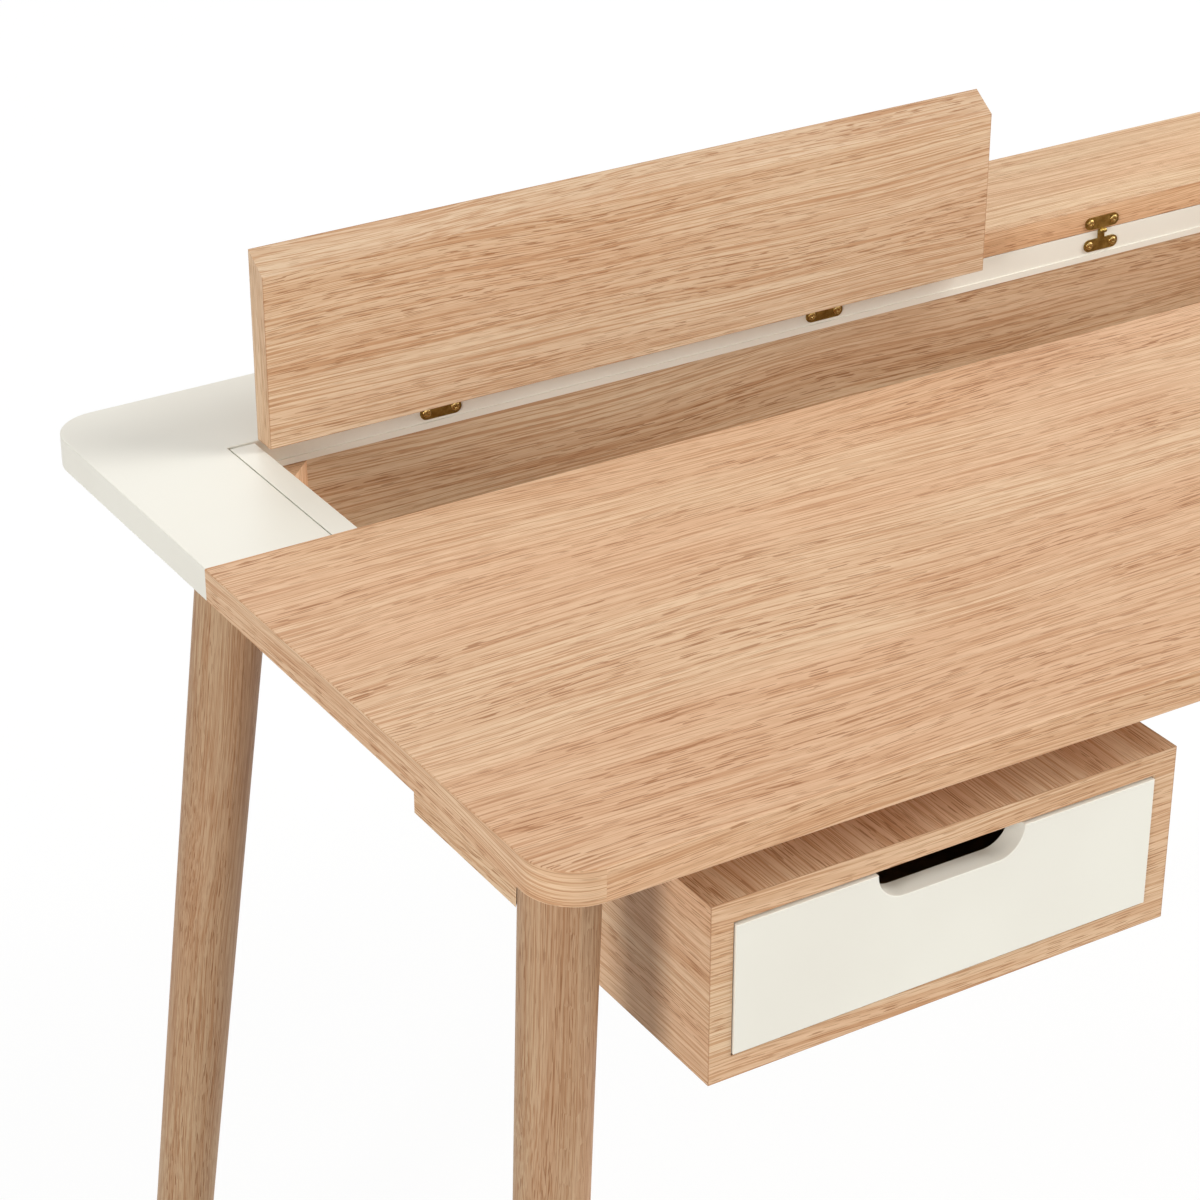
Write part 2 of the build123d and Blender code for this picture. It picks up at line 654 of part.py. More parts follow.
# Drawer body: grooved sides on fixed runners, back and bottom
body_front = drawer_front_y + front_thickness
body_back = body_front + drawer_length
body_bottom = front_bottom_z + bottom_lift / 2
runner_middle_z = body_bottom + side_height / 2
runner_half = runner_height / 2
groove_half = runner_half + runner_play
side_spans = (
    ("left", inner_left, 1),
    ("right", inner_right, -1),
)
for name, wall_x, inward in side_spans:
    outer_face = wall_x + inward * side_play
    inner_face = outer_face + inward * side_thickness
    groove_floor = wall_x + inward * (runner_reach + runner_play)
    bottom_groove_floor = inner_face - inward * bottom_groove_depth
    bottom_low = body_bottom + bottom_lift
    with BuildPart() as drawer_side:
        with BuildSketch(Plane.XZ.offset(-body_front)):
            with Locations(((outer_face + inner_face) / 2, runner_middle_z)):
                Rectangle(side_thickness, side_height)
            with Locations(((outer_face + groove_floor) / 2, runner_middle_z)):
                Rectangle(abs(groove_floor - outer_face), 2 * groove_half, mode=Mode.SUBTRACT)
            with Locations(((bottom_groove_floor + inner_face) / 2,
                            bottom_low + drawer_bottom_thickness / 2)):
                Rectangle(bottom_groove_depth, drawer_bottom_thickness + 2 * groove_play,
                          mode=Mode.SUBTRACT)
        extrude(amount=-drawer_length)
    drawer_side.part.label = f"drawer_side_{name}"
    export_step(drawer_side.part, f"parts/drawer_side_{name}.step")

    runner = board(*sorted((wall_x, wall_x + inward * runner_reach)), inner_back - runner_length,
                   inner_back, runner_middle_z - runner_half, runner_middle_z + runner_half)
    with runner:
        chamfer(runner.edges().filter_by(Axis.Z).sort_by(Axis.Y)[0:2], runner_play)
    runner.part.label = f"runner_{name}"
    export_step(runner.part, f"parts/runner_{name}.step")

drawer_inner_left = inner_left + side_play + side_thickness
drawer_inner_right = inner_right - side_play - side_thickness
bottom_top_z = body_bottom + bottom_lift + drawer_bottom_thickness
drawer_back = board(drawer_inner_left, drawer_inner_right, body_back - side_thickness, body_back,
                    bottom_top_z, body_bottom + side_height)
drawer_back.part.label = "drawer_back"
export_step(drawer_back.part, "parts/drawer_back.step")

bottom_tongue = bottom_groove_depth - groove_play
drawer_bottom = board(drawer_inner_left - bottom_tongue, drawer_inner_right + bottom_tongue,
                      body_front, body_back, body_bottom + bottom_lift, bottom_top_z)
drawer_bottom.part.label = "drawer_bottom"
export_step(drawer_bottom.part, "parts/drawer_bottom.step")

# Stops on the box's back, which the drawer's sides meet when it is shut
stop_xs = (inner_left + side_play + stop_width / 2, inner_right - side_play - stop_width / 2)
with BuildPart() as drawer_stops:
    with BuildSketch(Plane.XZ.offset(-body_back)):
        with Locations(*[(x, body_bottom + side_height - stop_width) for x in stop_xs]):
            Rectangle(stop_width, stop_width)
    extrude(amount=body_back - inner_back)
drawer_stops.part.label = "drawer_stops"
export_step(drawer_stops.part, "parts/drawer_stops.step")
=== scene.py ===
import bpy
import bmesh
import math
from mathutils import Matrix, Vector


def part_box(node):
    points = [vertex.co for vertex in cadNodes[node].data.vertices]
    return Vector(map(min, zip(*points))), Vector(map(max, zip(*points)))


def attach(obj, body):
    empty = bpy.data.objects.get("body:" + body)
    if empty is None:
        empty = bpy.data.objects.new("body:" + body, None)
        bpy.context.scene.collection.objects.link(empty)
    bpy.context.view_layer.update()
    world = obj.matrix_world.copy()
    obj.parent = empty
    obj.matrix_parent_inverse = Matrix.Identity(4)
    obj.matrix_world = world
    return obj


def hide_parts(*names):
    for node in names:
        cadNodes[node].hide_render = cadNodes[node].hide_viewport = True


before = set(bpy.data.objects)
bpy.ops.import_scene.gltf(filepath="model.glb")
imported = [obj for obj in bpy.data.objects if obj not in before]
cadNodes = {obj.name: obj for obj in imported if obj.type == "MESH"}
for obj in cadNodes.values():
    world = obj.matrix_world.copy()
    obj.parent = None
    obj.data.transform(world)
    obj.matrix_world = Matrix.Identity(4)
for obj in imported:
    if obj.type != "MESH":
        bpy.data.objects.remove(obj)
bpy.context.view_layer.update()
print("frame loaded:", len(cadNodes), "nodes")


# node helpers

def newMaterial(name):
    material = bpy.data.materials.new(name)
    material.use_nodes = True
    material.node_tree.nodes.clear()
    return material, material.node_tree


def setInput(tree, socket, value):
    # a value is either another node's socket or a constant
    if isinstance(value, bpy.types.NodeSocket):
        tree.links.new(value, socket)
    else:
        socket.default_value = value


def addNode(tree, kind, inputs=None, **settings):
    node = tree.nodes.new("ShaderNode" + kind)
    for key, value in settings.items():
        setattr(node, key, value)
    for key, value in (inputs or {}).items():
        setInput(tree, node.inputs[key], value)
    return node


def mathNode(tree, operation, a, b=0.0):
    return addNode(tree, "Math", {0: a, 1: b}, operation=operation).outputs[0]


def vectorMath(tree, operation, a, b=(0, 0, 0)):
    node = addNode(tree, "VectorMath", {0: a, 1: b}, operation=operation)
    return node.outputs["Value" if operation == "DOT_PRODUCT" else "Vector"]


def smoothRange(tree, value, low, high, toLow=0.0, toHigh=1.0):
    return addNode(tree, "MapRange", {"Value": value, "From Min": low, "From Max": high,
                                      "To Min": toLow, "To Max": toHigh},
                   interpolation_type="SMOOTHSTEP").outputs["Result"]


def opaque(colour):
    return colour if isinstance(colour, bpy.types.NodeSocket) else (*colour, 1)


def mixColour(tree, factor, a, b, blend="MIX"):
    return addNode(tree, "Mix", {"Factor": factor, 6: opaque(a), 7: opaque(b)},
                   data_type="RGBA", blend_type=blend).outputs[2]


def mixVector(tree, factor, a, b):
    return addNode(tree, "Mix", {0: factor, 4: a, 5: b}, data_type="VECTOR").outputs[1]


def noise(tree, vector, scale, detail=2.0, roughness=0.5):
    return addNode(tree, "TexNoise", {"Vector": vector, "Scale": scale, "Detail": detail,
                                      "Roughness": roughness}).outputs["Fac"]


def objectCoords(tree):
    return addNode(tree, "TexCoord").outputs


def split(tree, vector):
    return addNode(tree, "SeparateXYZ", {0: vector}).outputs


def joined(tree, x, y, z):
    return addNode(tree, "CombineXYZ", {"X": x, "Y": y, "Z": z}).outputs[0]


def facing(tree, normal, axis, limit):
    # 1 on the faces that look along the axis, either way
    return mathNode(tree, "GREATER_THAN",
                    mathNode(tree, "ABSOLUTE", split(tree, normal)[axis]), limit)


def srgb(r, g, b):
    return tuple(((c / 255 + 0.055) / 1.055) ** 2.4 for c in (r, g, b))


def dress(names, material):
    for name in names:
        for slot in cadNodes[name].material_slots:
            slot.material = material


# oak

oakLook = {
    "light": srgb(234, 201, 165),
    "mid": srgb(221, 181, 144),
    "pink": srgb(224, 178, 140),
    "sand": srgb(229, 197, 160),
    "line": srgb(194, 142, 100),
    "pore": srgb(160, 108, 68),
    "wander": 30.0,        # mm that the grain strays from straight
    "flutter": 1.8,        # mm of its quicker waves
    "tintShare": 0.45,
    "streakStrength": 0.42,
    "lineStrength": 0.80,
    "poreStrength": 0.85,
    "fibreStrength": 0.35,
    "crowdEdges": (0.40, 0.60),     # pores are crowded where the bands are dark
    "fewPores": 0.35,
    "lineRelief": 0.3,
    "roughness": 0.52,
    "poreRoughness": 0.12,     # added in the pores
    "specular": 0.28,
    "bump": 0.12,
    "bumpDistance": 0.0004,
    "seamStrength": 0.5,
}
oakLayers = {     # grain: changes per mm along and across; edges: where a mask starts and is full
    "wander": {"grain": (0.0026, 0.0065), "detail": 1.0},
    "flutter": {"grain": (0.014, 0.045), "detail": 1.0},
    "bands": {"grain": (0.0016, 0.045), "detail": 2.0, "edges": (0.36, 0.64)},
    "patches": {"grain": (0.0020, 0.014), "detail": 1.0, "edges": (0.36, 0.64)},
    "streaks": {"grain": (0.0050, 0.24), "detail": 2.0, "edges": (0.40, 0.70)},
    "lines": {"grain": (0.0075, 0.98), "detail": 0.0, "edges": (0.53, 0.64)},
    "pores": {"grain": (0.055, 1.25), "detail": 0.0, "edges": (0.62, 0.68)},
    "fibres": {"grain": (0.06, 1.6), "detail": 1.0, "edges": (0.40, 0.75)},
}
plainTone = (1, 1, 1)
millimetres = (1000, 1000, 1000)


def layerNoise(tree, place, layer):
    along, across = layer["grain"]
    return noise(tree, vectorMath(tree, "MULTIPLY", place, (along, across, across)), 1.0,
                 layer["detail"])


def layerMask(tree, place, layer, strength=1.0):
    return smoothRange(tree, layerNoise(tree, place, layer), *layer["edges"], 0.0, strength)


def strayed(tree, place, layer, reach):
    return mathNode(tree, "MULTIPLY",
                    mathNode(tree, "SUBTRACT", layerNoise(tree, place, layer), 0.5), reach)


def makeOakGroup(look, layers):
    # coordinates in metres with X along the grain; gives the wood's colour and relief
    group = bpy.data.node_groups.new("oakGrain", "ShaderNodeTree")
    group.interface.new_socket("Vector", in_out="INPUT", socket_type="NodeSocketVector")
    group.interface.new_socket("Color", in_out="OUTPUT", socket_type="NodeSocketColor")
    group.interface.new_socket("Relief", in_out="OUTPUT", socket_type="NodeSocketFloat")
    source = group.nodes.new("NodeGroupInput")
    result = group.nodes.new("NodeGroupOutput")
    place = vectorMath(group, "MULTIPLY", source.outputs[0], millimetres)
    shift = mathNode(group, "ADD", strayed(group, place, layers["wander"], look["wander"]),
                     strayed(group, place, layers["flutter"], look["flutter"]))
    bent = vectorMath(group, "ADD", place, joined(group, 0.0, shift, 0.0))

    # growth bands under a slow change of tint
    bands = layerNoise(group, bent, layers["bands"])
    base = mixColour(group, smoothRange(group, bands, *layers["bands"]["edges"]),
                     look["light"], look["mid"])
    tint = mixColour(group, layerMask(group, bent, layers["patches"]), look["pink"], look["sand"])
    base = mixColour(group, look["tintShare"], base, tint)

    # streaks, thin lines, open pores and fibres
    streaks = layerMask(group, bent, layers["streaks"])
    base = mixColour(group, mathNode(group, "MULTIPLY", streaks, look["streakStrength"]), base,
                     look["line"])
    lines = layerNoise(group, bent, layers["lines"])
    lineMask = smoothRange(group, lines, *layers["lines"]["edges"])
    base = mixColour(group, mathNode(group, "MULTIPLY", lineMask, look["lineStrength"]), base,
                     look["line"])
    crowd = smoothRange(group, bands, *look["crowdEdges"], look["fewPores"], 1.0)
    pores = mathNode(group, "MULTIPLY", layerMask(group, bent, layers["pores"]), crowd)
    base = mixColour(group, mathNode(group, "MULTIPLY", pores, look["poreStrength"]), base,
                     look["pore"])
    fibres = layerMask(group, bent, layers["fibres"], look["fibreStrength"])
    base = mixColour(group, fibres, base, look["line"])
    relief = mathNode(group, "SUBTRACT",
                      mathNode(group, "MULTIPLY", lines, look["lineRelief"]), pores)
    group.links.new(base, result.inputs[0])
    group.links.new(relief, result.inputs[1])
    return group


oakGroup = makeOakGroup(oakLook, oakLayers)

boardGrainLook = {
    "facing": 0.7,     # a face looks along an axis from here on
    "sideShift": (0.31, 0.17, 0.05),     # no two faces show the same grain
    "frontShift": (0.12, 0.43, 0.09),
}
seamLook = {"width": 0.0007, "core": 0.4}     # a seam is darkest in the core of its width


def permuted(tree, parts, word):
    return joined(tree, *(parts["XYZ".index(letter)] for letter in word))


def boardGrain(tree, shift, top="XYZ", side="YZX", front="XZY"):
    # each word gives the grain's three axes on the faces that look up, sideways or forwards
    look = boardGrainLook
    coords = objectCoords(tree)
    parts = split(tree, coords["Object"])
    sideGrain = vectorMath(tree, "ADD", permuted(tree, parts, side), look["sideShift"])
    frontGrain = vectorMath(tree, "ADD", permuted(tree, parts, front), look["frontShift"])
    chosen = mixVector(tree, facing(tree, coords["Normal"], 0, look["facing"]),
                       permuted(tree, parts, top), sideGrain)
    chosen = mixVector(tree, facing(tree, coords["Normal"], 1, look["facing"]), chosen, frontGrain)
    return vectorMath(tree, "ADD", chosen, shift)


def edgeSeam(tree, low, high):
    # 1 near a box's edges: the middle one of the three distances to its faces is small there
    parts = split(tree, objectCoords(tree)["Object"])
    gaps = [mathNode(tree, "MINIMUM", mathNode(tree, "SUBTRACT", parts[axis], low[axis]),
                     mathNode(tree, "SUBTRACT", high[axis], parts[axis])) for axis in range(3)]
    small = mathNode(tree, "MINIMUM", gaps[0], gaps[1])
    large = mathNode(tree, "MAXIMUM", gaps[0], gaps[1])
    middle = mathNode(tree, "MAXIMUM", small, mathNode(tree, "MINIMUM", large, gaps[2]))
    width = seamLook["width"]
    return smoothRange(tree, middle, seamLook["core"] * width, width, 1.0, 0.0)


def finishOak(material, tree, vector, seam=None, tone=plainTone):
    look = oakLook
    grain = addNode(tree, "Group", {0: vector}, node_tree=oakGroup)
    colour = grain.outputs["Color"]
    relief = grain.outputs["Relief"]
    if tone != plainTone:
        colour = mixColour(tree, 1.0, colour, tone, "MULTIPLY")
    if seam is not None:
        colour = mixColour(tree, mathNode(tree, "MULTIPLY", seam, look["seamStrength"]), colour,
                           look["pore"])
    rough = smoothRange(tree, relief, -1.0, look["lineRelief"],
                        look["roughness"] + look["poreRoughness"], look["roughness"])
    bump = addNode(tree, "Bump", {"Strength": look["bump"], "Distance": look["bumpDistance"],
                                  "Height": relief})
    shader = addNode(tree, "BsdfPrincipled", {"Base Color": colour, "Roughness": rough,
                                              "Specular IOR Level": look["specular"],
                                              "Normal": bump.outputs[0]})
    addNode(tree, "OutputMaterial", {0: shader.outputs[0]})
    return material


# worktop slab: veneer on top, one edge band that runs round the front corners

slabLook = {
    "cornerRadius": 0.035,
    "cornerStart": 0.00001,
    "bandTop": 0.0019,     # the band starts this far below the top
    "seamWidth": 0.0005,
    "topFacing": 0.45,
    "topFineness": (1.0, 0.80, 1.0),     # the top is cut from wider grain
    "frontShift": (0.2, 0.31, 0),
}


def makeSlabOak(look):
    low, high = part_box("oak_slab")
    material, tree = newMaterial("oakSlab")
    coords = objectCoords(tree)
    parts = split(tree, coords["Object"])
    radius = look["cornerRadius"]
    overX = mathNode(tree, "MAXIMUM", 0.0,
                     mathNode(tree, "SUBTRACT", mathNode(tree, "ABSOLUTE", parts[0]),
                              high.x - radius))
    overY = mathNode(tree, "MAXIMUM", 0.0, mathNode(tree, "SUBTRACT", low.y + radius, parts[1]))
    pastY = mathNode(tree, "MAXIMUM", 0.0, mathNode(tree, "SUBTRACT", parts[1], low.y + radius))
    turn = mathNode(tree, "ARCTAN2", overX, overY)
    around = mathNode(tree, "ADD", mathNode(tree, "MULTIPLY", turn, radius), pastY)
    sideBand = joined(tree, around, parts[2], mathNode(tree, "SIGN", parts[0]))
    frontBand = vectorMath(tree, "ADD", permuted(tree, parts, "XZY"), look["frontShift"])
    onSide = mathNode(tree, "GREATER_THAN", overX, look["cornerStart"])
    band = mixVector(tree, onSide, frontBand, sideBand)
    level = facing(tree, coords["Normal"], 2, look["topFacing"])
    surface = vectorMath(tree, "MULTIPLY", coords["Object"], look["topFineness"])
    vector = mixVector(tree, level, band, surface)
    bandLine = high.z - look["bandTop"]
    depth = mathNode(tree, "ABSOLUTE", mathNode(tree, "SUBTRACT", parts[2], bandLine))
    seam = mathNode(tree, "MULTIPLY", smoothRange(tree, depth, 0.0, look["seamWidth"], 1.0, 0.0),
                    mathNode(tree, "SUBTRACT", 1.0, level))
    return finishOak(material, tree, vector, seam)


dress(["oak_slab"], makeSlabOak(slabLook))
print("worktop slab done")


# lids: band on the ends, thin seams where it meets the faces

lidLook = {
    "lid_left": {"ends": "ZYX", "shift": (0.4, 0.2, 0.6), "tone": (0.96, 1.05, 1.13),
                 "slope": (0, -0.66, 0.75)},     # slope is where the bevel looks
    "lid_right": {"ends": "YZX", "shift": (1.3, 0.5, 0.2), "tone": (1.03, 1.06, 1.05),
                  "slope": (0, 0.75, 0.66)},
}
lidFineness = (1.0, 1.15, 1.15)     # the lids are cut from closer grain
bevelShade = {"strength": 0.28, "edges": (0.88, 0.92)}


def makeLidOak(name, look):
    low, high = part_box(name)
    material, tree = newMaterial("oak" + name.title().replace("_", ""))
    vector = vectorMath(tree, "MULTIPLY", boardGrain(tree, look["shift"], side=look["ends"]),
                        lidFineness)
    lean = vectorMath(tree, "DOT_PRODUCT", objectCoords(tree)["Normal"], look["slope"])
    bevel = smoothRange(tree, lean, *bevelShade["edges"], 0.0, bevelShade["strength"])
    seam = mathNode(tree, "MAXIMUM", edgeSeam(tree, low, high), bevel)
    return finishOak(material, tree, vector, seam, look["tone"])


for lidName, oneLook in lidLook.items():
    dress([lidName], makeLidOak(lidName, oneLook))
print("lids done")


# trough and under-frame

boardLook = {
    "oakTrough": {"nodes": ["trough_front_wall", "trough_rear_wall", "trough_floor"],
                  "shift": (0.7, 1.1, 0.3), "tone": (0.90, 1.00, 1.07)},
    "oakCornerBlocks": {"nodes": ["trough_corner_blocks"], "shift": (0.2, 0.9, 0.4),
                        "grain": {"side": "ZYX", "front": "ZXY"}},
    "oakRests": {"nodes": ["lid_rests"], "shift": (1.2, 0.4, 0.8)},
    "oakRails": {"nodes": ["front_rail", "rear_rail"], "shift": (0.5, 1.6, 0.1)},
    "oakCrossRails": {"nodes": ["side_rail_left", "side_rail_right", "cross_batten_left",
                                "cross_batten_right"],
                      "shift": (0.9, 0.8, 0.5), "tone": (1.02, 1.08, 1.10),
                      "grain": {"top": "YXZ"}},
}


def makeBoardOak(name, look):
    material, tree = newMaterial(name)
    vector = boardGrain(tree, look["shift"], **look.get("grain", {}))
    return finishOak(material, tree, vector, tone=look.get("tone", plainTone))


for boardName, oneLook in boardLook.items():
    dress(oneLook["nodes"], makeBoardOak(boardName, oneLook))


# drawer box: seams on the outer edges of the whole box

boxLook = {
    "sides": ["box_top", "box_bottom", "box_side_left", "box_side_right"],
    "shift": (1.7, 0.6, 0.9),
    "tone": (1.0, 1.05, 1.08),
}


def makeBoxOak(look):
    corners = [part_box(name) for name in look["sides"]]
    low = [min(box[0][axis] for box in corners) for axis in range(3)]
    high = [max(box[1][axis] for box in corners) for axis in range(3)]
    material, tree = newMaterial("oakDrawerBox")
    vector = boardGrain(tree, look["shift"], top="YXZ")
    return finishOak(material, tree, vector, edgeSeam(tree, low, high), look["tone"])


dress(boxLook["sides"] + ["box_back"], makeBoxOak(boxLook))
print("boards done")


# legs: the grain follows each leg's own axis

legLook = {
    "leg_front_left": {"lean": (-1, -1), "shift": (0.3, 0.1, 0.7)},
    "leg_front_right": {"lean": (1, -1), "shift": (1.1, 0.6, 0.2)},
    "leg_rear_left": {"lean": (-1, 1), "shift": (2.3, 0.8, 0.4)},
    "leg_rear_right": {"lean": (1, 1), "shift": (3.1, 0.2, 0.9)},
}
legSplay = math.radians(5.0)
legTone = (0.67, 0.66, 0.635)     # the legs are coloured darker than the veneer
legFineness = (1.3, 1.5, 1.5)


def makeLegOak(name, look):
    slope = math.tan(legSplay)
    axis = Vector((look["lean"][0] * slope, look["lean"][1] * slope, -1)).normalized()
    material, tree = newMaterial("oak" + name.title().replace("_", ""))
    place = objectCoords(tree)["Object"]
    along = vectorMath(tree, "DOT_PRODUCT", place, axis)
    scaled = addNode(tree, "VectorMath", {0: tuple(axis), 3: along}, operation="SCALE").outputs[0]
    across = split(tree, vectorMath(tree, "SUBTRACT", place, scaled))
    vector = joined(tree, along, across[0], across[1])
    vector = vectorMath(tree, "ADD", vectorMath(tree, "MULTIPLY", vector, legFineness),
                        look["shift"])
    return finishOak(material, tree, vector, tone=legTone)


for legName, oneLook in legLook.items():
    dress([legName], makeLegOak(legName, oneLook))
print("legs done")


# white lacquer

cloudEdges = (0.3, 0.7)     # where the noise of a plain finish goes from its one value to the other
lacquerLook = {
    "colour": srgb(240, 237, 225),
    "shade": srgb(235, 231, 219),
    "cloudSize": 6.0,
    "roughSize": 35.0,
    "roughDetail": 3.0,
    "roughLow": 0.33,
    "roughHigh": 0.40,
    "specular": 0.35,
    "peelSize": 900.0,
    "peelDetail": 1.0,
    "peelBump": 0.02,
    "peelDistance": 0.0002,
}


def makeLacquer(look):
    material, tree = newMaterial("whiteLacquer")
    place = objectCoords(tree)["Object"]
    clouds = noise(tree, place, look["cloudSize"])
    colour = mixColour(tree, smoothRange(tree, clouds, *cloudEdges), look["shade"], look["colour"])
    rough = smoothRange(tree, noise(tree, place, look["roughSize"], look["roughDetail"]),
                        *cloudEdges, look["roughLow"], look["roughHigh"])
    peel = noise(tree, place, look["peelSize"], look["peelDetail"])
    bump = addNode(tree, "Bump", {"Strength": look["peelBump"], "Distance": look["peelDistance"],
                                  "Height": peel})
    shader = addNode(tree, "BsdfPrincipled", {"Base Color": colour, "Roughness": rough,
                                              "Specular IOR Level": look["specular"],
                                              "Normal": bump.outputs[0]})
    addNode(tree, "OutputMaterial", {0: shader.outputs[0]})
    return material


dress(["lacquered_panel", "trough_end_left", "trough_end_right", "drawer_front"],
      makeLacquer(lacquerLook))
print("lacquer done")


# hinges, fixings, drawer body and glides

plainLook = {
    "screwBrass": {"dark": srgb(166, 136, 74), "light": srgb(210, 182, 122), "metallic": 1.0,
                   "roughness": 0.28, "size": 500.0},
    "antiqueBrass": {"dark": srgb(136, 110, 54), "light": srgb(174, 148, 84), "metallic": 1.0,
                     "roughness": 0.38, "size": 220.0},
    "zincSteel": {"dark": srgb(160, 160, 158), "light": srgb(196, 196, 192), "metallic": 1.0,
                  "roughness": 0.32, "size": 300.0},
    "darkNylon": {"dark": srgb(70, 66, 60), "light": srgb(88, 84, 78), "metallic": 0.0,
                  "roughness": 0.6, "size": 400.0},
    "birchPly": {"dark": srgb(112, 88, 62), "light": srgb(140, 112, 82), "metallic": 0.0,
                 "roughness": 0.6, "size": 60.0},
}
blotchLook = {"detail": 4.0, "roughness": 0.6, "fineness": 3, "roughSwing": 0.08}


def makePlain(name, look, blotch):
    material, tree = newMaterial(name)
    place = objectCoords(tree)["Object"]
    blotches = noise(tree, place, look["size"], blotch["detail"], blotch["roughness"])
    colour = mixColour(tree, smoothRange(tree, blotches, *cloudEdges), look["dark"], look["light"])
    rough = smoothRange(tree, noise(tree, place, look["size"] * blotch["fineness"]), *cloudEdges,
                        look["roughness"] - blotch["roughSwing"],
                        look["roughness"] + blotch["roughSwing"])
    shader = addNode(tree, "BsdfPrincipled", {"Base Color": colour, "Roughness": rough,
                                              "Metallic": look["metallic"]})
    addNode(tree, "OutputMaterial", {0: shader.outputs[0]})
    return material


plain = {name: makePlain(name, look, blotchLook) for name, look in plainLook.items()}
hingeParts = ("lid_leaves", "panel_leaves", "hinge_pins", "lid_screws", "panel_screws")
dress([name for name in cadNodes if name.startswith(hingeParts)], plain["antiqueBrass"])
dress(["leg_bolts", "leg_sleeves", "box_screws", "frame_screws", "floor_screws"],
      plain["zincSteel"])
dress(["foot_glides"], plain["darkNylon"])
dress(["drawer_side_left", "drawer_side_right", "drawer_back", "drawer_bottom", "runner_left",
       "runner_right", "drawer_stops"], plain["birchPly"])
print("metal and drawer done")


# hinge screws: domed heads with a cross recess

screwLook = {
    "headRadius": 0.0037,
    "headHeight": 0.0010,
    "domeRings": (0.0020, 0.0029, 0.0037),
    "shankRadius": 0.0012,
    "length": 0.0120,
    "crossReach": 0.0015,
    "crossHalfWidth": 0.00035,
    "crossDepth": 0.0007,
    "crossTaper": 0.6,
    "facets": 32,
    "mergeDistance": 1e-6,
    "nodeRadius": 0.0033,   # of the CAD heads, which set the places
    "spacing": 0.0234,     # between the two screws of a leaf
    "turn": 37.0,          # degrees from one screw to the next
}


def domeHeight(look, radius):
    return look["headHeight"] * (1 - (radius / look["headRadius"]) ** 2)


def makeScrewMesh(look):
    # one screw with its seat at the origin and its head up +Z
    bm = bmesh.new()
    profile = [(radius, domeHeight(look, radius)) for radius in look["domeRings"]]
    shank = look["shankRadius"]
    profile += [(shank, 0), (shank, 2 * shank - look["length"]), (0, -look["length"])]
    verts = [bm.verts.new((radius, 0, z)) for radius, z in profile]
    edges = [bm.edges.new(pair) for pair in zip(verts, verts[1:])]
    bmesh.ops.spin(bm, geom=verts + edges, cent=(0, 0, 0), axis=(0, 0, 1), angle=2 * math.pi,
                   steps=look["facets"], use_merge=True)
    bmesh.ops.remove_doubles(bm, verts=bm.verts, dist=look["mergeDistance"])
    for face in bm.faces:
        face.smooth = True
    ring = [edge for edge in bm.edges if edge.is_boundary]

    # the recess: a cross let into the dome
    reach, half = look["crossReach"], look["crossHalfWidth"]
    corners = []
    for quarter in range(4):
        turn = Matrix.Rotation(quarter * math.pi / 2, 2)
        corners += [turn @ Vector(point) for point in ((reach, -half), (reach, half), (half, half))]
    cross = [bm.verts.new((point.x, point.y, domeHeight(look, point.length))) for point in corners]
    crossEdges = [bm.edges.new((vert, cross[index - 1])) for index, vert in enumerate(cross)]
    bmesh.ops.bridge_loops(bm, edges=ring + crossEdges)
    sunk = bmesh.ops.extrude_edge_only(bm, edges=crossEdges)["geom"]
    lowVerts = [item for item in sunk if isinstance(item, bmesh.types.BMVert)]
    for vert in lowVerts:
        vert.co = (vert.co.x * look["crossTaper"], vert.co.y * look["crossTaper"],
                   look["headHeight"] - look["crossDepth"])
    floorEdges = [item for item in sunk if isinstance(item, bmesh.types.BMEdge)
                  and all(vert in lowVerts for vert in item.verts)]
    bmesh.ops.edgeloop_fill(bm, edges=floorEdges)
    bmesh.ops.recalc_face_normals(bm, faces=bm.faces)
    mesh = bpy.data.meshes.new("hingeScrew")
    bm.to_mesh(mesh)
    bm.free()
    return mesh


screwMesh = makeScrewMesh(screwLook)


def makeScrews(name, node, body, axis, look):
    # axis is the direction in which the screws go in: 1 for Y, 2 for Z
    low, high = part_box(node)
    middle = (low + high) / 2
    outward = Vector((0, 0, 0))
    outward[axis] = -1
    stand = Vector((0, 0, 1)).rotation_difference(outward).to_matrix().to_4x4()
    first, last = low.x + look["nodeRadius"], high.x - look["nodeRadius"]
    bm = bmesh.new()
    for index, x in enumerate((first, first + look["spacing"], last - look["spacing"], last)):
        place = middle.copy()
        place.x = x
        place[axis] = low[axis] + look["headHeight"]
        turn = Matrix.Rotation(math.radians(look["turn"] * (index + axis)), 4, "Z")
        screw = screwMesh.copy()
        screw.transform(Matrix.Translation(place) @ stand @ turn)
        bm.from_mesh(screw)
        bpy.data.meshes.remove(screw)
    mesh = bpy.data.meshes.new(name)
    bm.to_mesh(mesh)
    bm.free()
    piece = bpy.data.objects.new(name, mesh)
    bpy.context.scene.collection.objects.link(piece)
    mesh.materials.append(plain["screwBrass"])
    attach(piece, body)
    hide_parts(node)


makeScrews("hingeScrewsLidLeft", "lid_screws_left", "left_lid", 2, screwLook)
makeScrews("hingeScrewsLidRight", "lid_screws_right", "right_lid", 1, screwLook)
makeScrews("hingeScrewsPanelLeft", "panel_screws_left", "desk", 1, screwLook)
makeScrews("hingeScrewsPanelRight", "panel_screws_right", "desk", 1, screwLook)
print("hinge screws done")


# floor, light and camera

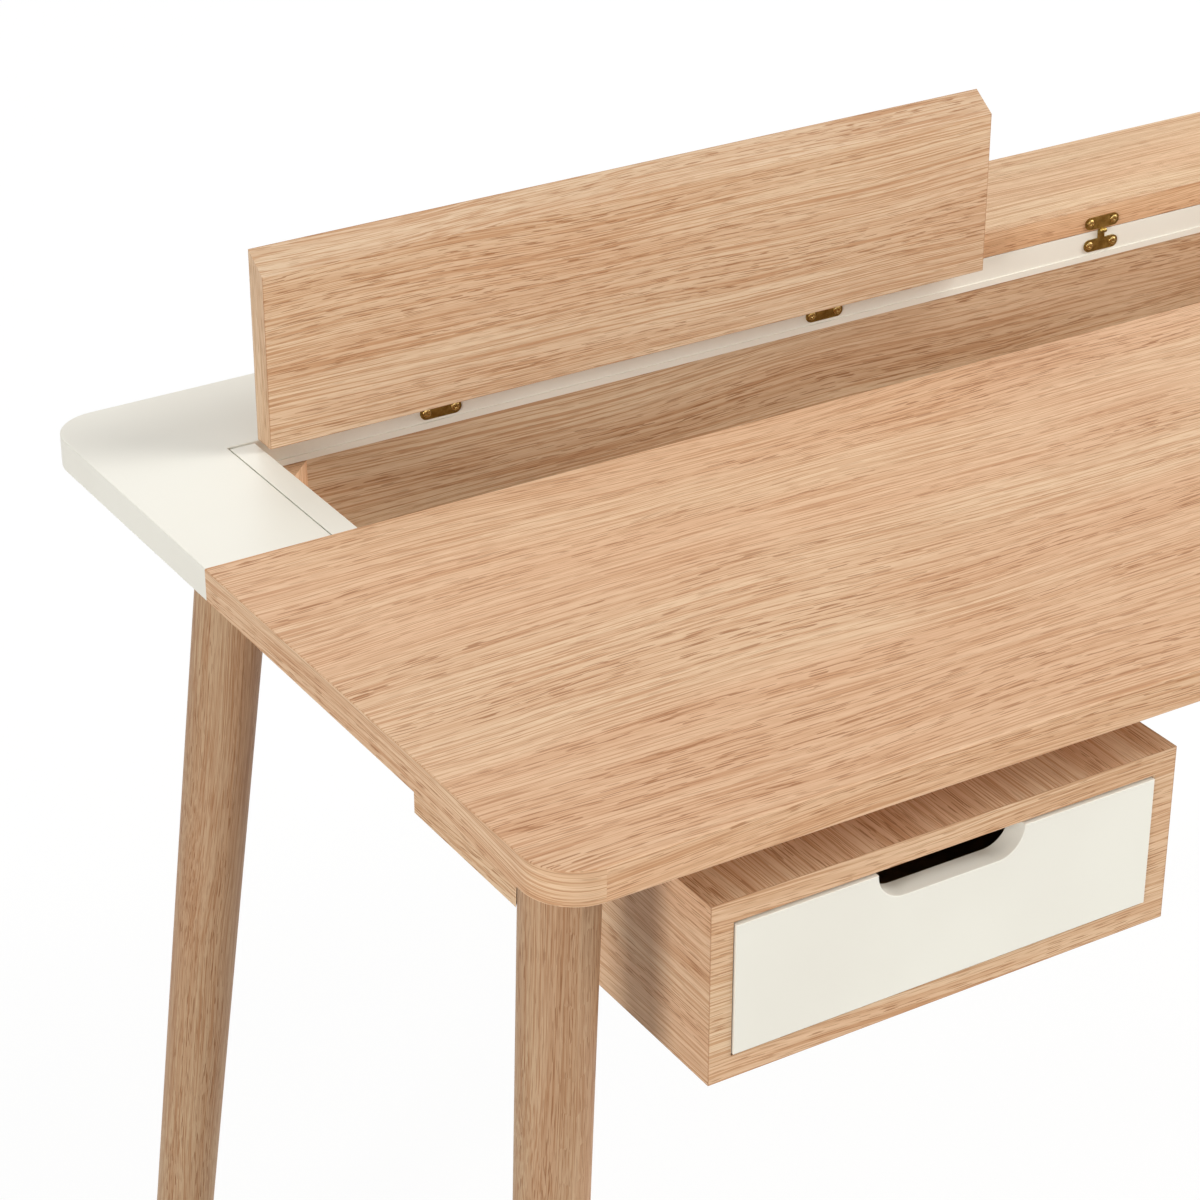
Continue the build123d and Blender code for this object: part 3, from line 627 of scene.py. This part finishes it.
studio = {
    "worldStrength": 0.35,
    "floorReach": 30.0,
    "floorColour": srgb(194, 194, 192),
    "floorPale": srgb(200, 200, 198),
    "floorTint": 1.5,       # how often its colour changes, per metre
    "floorShare": 0.84,     # how much of the floor's plain white the camera sees
    "floorWhite": 1.09,
    "lampCentre": (-0.1, 0.0, 0.7),
    "lampDistance": 8.0,
}
lamps = {
    "key": {"heading": (0.85, -0.53), "height": 49, "size": 2.7, "strength": 0.22},
    "right": {"heading": (0.97, -0.25), "height": 12, "size": 3.3, "strength": 0.36},
    "rightHigh": {"heading": (0.90, -0.45), "height": 28, "size": 3.3, "strength": 0.28},
    "front": {"heading": (-0.10, -1.00), "height": 12, "size": 4.4, "strength": 0.13},
    "left": {"heading": (-0.91, -0.41), "height": 12, "size": 2.5, "strength": 0.45},
    "back": {"heading": (0.10, 1.00), "height": 45, "size": 4.4, "strength": 0.30},
}
cameraLook = {
    "place": (-1.51612, -1.68387, 1.74903),
    "aim": (0.4618, 0.7513, -0.4714),
    "lens": 100.0,
    "clip": (0.05, 100.0),
}


def addToScene(name, data):
    thing = bpy.data.objects.new(name, data)
    bpy.context.scene.collection.objects.link(thing)
    return thing


def seenShare(tree):
    # 1 for rays from the camera, from a mirror or through glass, which see plain white
    rays = addNode(tree, "LightPath").outputs
    return mathNode(tree, "MAXIMUM", rays["Is Camera Ray"],
                    mathNode(tree, "MAXIMUM", rays["Is Glossy Ray"], rays["Is Transmission Ray"]))


def makeFloor(look):
    bm = bmesh.new()
    bmesh.ops.create_grid(bm, x_segments=1, y_segments=1, size=look["floorReach"])
    mesh = bpy.data.meshes.new("floor")
    bm.to_mesh(mesh)
    bm.free()
    floor = addToScene("floor", mesh)
    material, tree = newMaterial("paleFloor")
    tint = noise(tree, objectCoords(tree)["Object"], look["floorTint"])
    colour = mixColour(tree, tint, look["floorColour"], look["floorPale"])
    matt = addNode(tree, "BsdfDiffuse", {"Color": colour}).outputs[0]
    glow = addNode(tree, "Emission", {"Color": (1, 1, 1, 1), "Strength": look["floorWhite"]})
    share = mathNode(tree, "MULTIPLY", seenShare(tree), look["floorShare"])
    mixed = addNode(tree, "MixShader", {0: share, 1: matt, 2: glow.outputs[0]}).outputs[0]
    addNode(tree, "OutputMaterial", {0: mixed})
    mesh.materials.append(material)


def makeWorld(look):
    world = bpy.data.worlds.new("studio")
    bpy.context.scene.world = world
    world.use_nodes = True
    tree = world.node_tree
    tree.nodes.clear()
    strength = smoothRange(tree, seenShare(tree), 0.0, 1.0, look["worldStrength"], 1.0)
    background = addNode(tree, "Background", {"Color": (1, 1, 1, 1), "Strength": strength})
    addNode(tree, "OutputWorld", {0: background.outputs[0]})


def addLamp(name, look, centre, distance):
    # strength 1 lights a surface that faces the lamp as much as a plain white world would
    data = bpy.data.lights.new(name, "AREA")
    data.shape = "DISK"
    data.size = look["size"]
    data.energy = look["strength"] * (math.pi * distance) ** 2
    height = math.radians(look["height"])
    flat = Vector(look["heading"]).normalized() * math.cos(height)
    out = Vector((flat.x, flat.y, math.sin(height)))
    turn = (-out).to_track_quat("-Z", "Y")
    lamp = addToScene(name, data)
    lamp.matrix_world = Matrix.LocRotScale(Vector(centre) + out * distance, turn, None)


def addCamera(look):
    data = bpy.data.cameras.new("camera")
    data.lens = look["lens"]
    data.clip_start, data.clip_end = look["clip"]
    camera = addToScene("camera", data)
    turn = Vector(look["aim"]).to_track_quat("-Z", "Y")
    camera.matrix_world = Matrix.LocRotScale(Vector(look["place"]), turn, None)
    bpy.context.scene.camera = camera


makeFloor(studio)
makeWorld(studio)
for lampName, lampLook in lamps.items():
    addLamp(lampName, lampLook, studio["lampCentre"], studio["lampDistance"])
addCamera(cameraLook)
bpy.context.scene.view_settings.view_transform = "Standard"
print("studio done")
